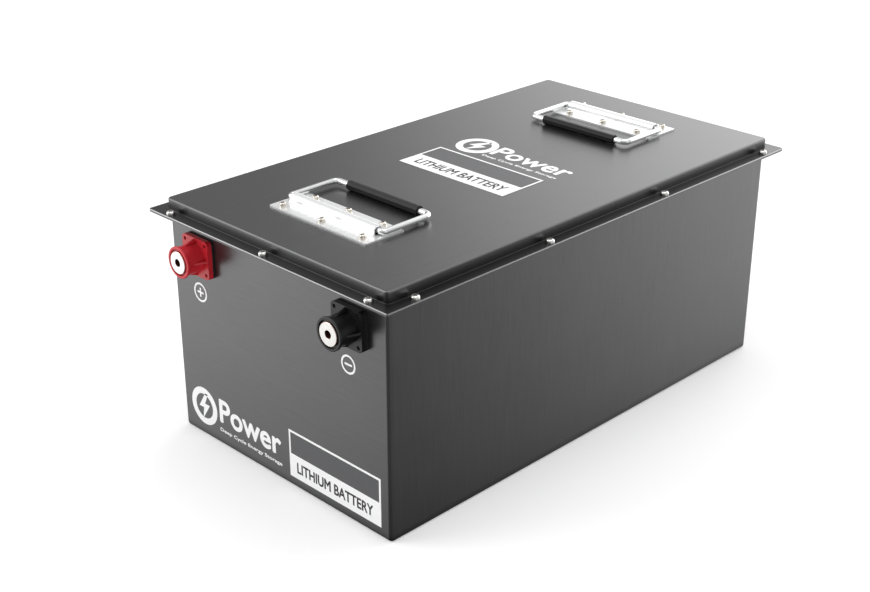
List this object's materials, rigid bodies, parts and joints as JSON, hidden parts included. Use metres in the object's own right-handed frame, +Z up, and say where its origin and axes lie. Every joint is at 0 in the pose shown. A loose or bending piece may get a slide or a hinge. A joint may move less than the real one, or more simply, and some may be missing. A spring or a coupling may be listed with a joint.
{
  "type": "deep cycle battery",
  "caption": "Steel-cased deep cycle battery pack with a bolted lid, folding wire handles, and red and black bolt-on terminals on its front face.",
  "frame": {"origin": "middle of the base, on the surface it stands on", "axes": "+Z up, +Y along the long side towards the back, +X to the right; the terminals face -Y"},
  "size_m": [0.3342, 0.5944, 0.259],
  "materials": {
    "coated_steel": "charcoal coat with a fine brushed grain",
    "black_rubber": "matt",
    "plated_steel": "bright zinc plate",
    "chrome_plate": "polished",
    "warm_nickel": "nickel plate with a warm tint",
    "backing_steel": "zinc plate",
    "grip_plastic": "satin moulded",
    "bush_plastic": "matt moulded",
    "red_plastic": "satin moulded",
    "black_plastic": "satin moulded",
    "tinned_copper": "tin plate",
    "label_film": "printed film",
    "white_ink": "printed",
    "cell_can": "blue wrapped can",
    "copper": "bare copper",
    "insulating_board": "glass-epoxy board",
    "foam": "closed-cell foam",
    "unit_aluminium": "anodised",
    "cable_jacket": "cable jacket"
  },
  "bodies": {
    "root": {"base_mat": "foam", "bms_blocks": "copper", "bms_case": "unit_aluminium", "bms_tray": "insulating_board", "case_shell": "coated_steel", "cell_1_1": "cell_can", "cell_1_2": "cell_can", "cell_1_3": "cell_can", "cell_2_1": "cell_can", "cell_2_2": "cell_can", "cell_2_3": "cell_can", "cell_3_1": "cell_can", "cell_3_2": "cell_can", "cell_3_3": "cell_can", "cell_4_1": "cell_can", "cell_4_2": "cell_can", "cell_4_3": "cell_can", "cell_cover": "insulating_board", "cell_nuts": "plated_steel", "cell_spacers": "insulating_board", "front_board": "insulating_board", "front_handle_backing_plate": "backing_steel", "front_handle_bushes": "bush_plastic", "front_handle_plate": "chrome_plate", "front_handle_screws": "warm_nickel", "front_label": "label_film", "lid": "coated_steel", "lid_gasket": "black_rubber", "lid_screws": "plated_steel", "negative_lug": "copper", "negative_mark": "white_ink", "negative_terminal_gasket": "black_rubber", "negative_terminal_housing": "black_plastic", "negative_terminal_insert": "tinned_copper", "negative_terminal_nut": "plated_steel", "negative_terminal_screws": "plated_steel", "pack_foam": "foam", "pack_lead": "cable_jacket", "positive_link_bar": "copper", "positive_mark": "white_ink", "positive_terminal_gasket": "black_rubber", "positive_terminal_housing": "red_plastic", "positive_terminal_insert": "tinned_copper", "positive_terminal_nut": "plated_steel", "positive_terminal_screws": "plated_steel", "rear_handle_backing_plate": "backing_steel", "rear_handle_bushes": "bush_plastic", "rear_handle_plate": "chrome_plate", "rear_handle_screws": "warm_nickel", "series_busbars": "copper", "string_lead": "cable_jacket", "string_lug": "copper", "top_label": "label_film", "tray_pillars": "plated_steel", "turning_busbars": "copper"},
    "front_bail": {"front_handle_bail": "chrome_plate", "front_handle_grip": "grip_plastic"},
    "rear_bail": {"rear_handle_bail": "chrome_plate", "rear_handle_grip": "grip_plastic"}
  },
  "joints": [
    {"name": "front_bail_hinge", "type": "hinge", "parent": "root", "child": "front_bail", "pos_m": [0.0014, -0.2, 0.254], "axis": [1, 0, 0], "range_deg": [0, 90]},
    {"name": "rear_bail_hinge", "type": "hinge", "parent": "root", "child": "rear_bail", "pos_m": [0.0014, 0.2058, 0.254], "axis": [-1, 0, 0], "range_deg": [0, 90]}
  ]
}
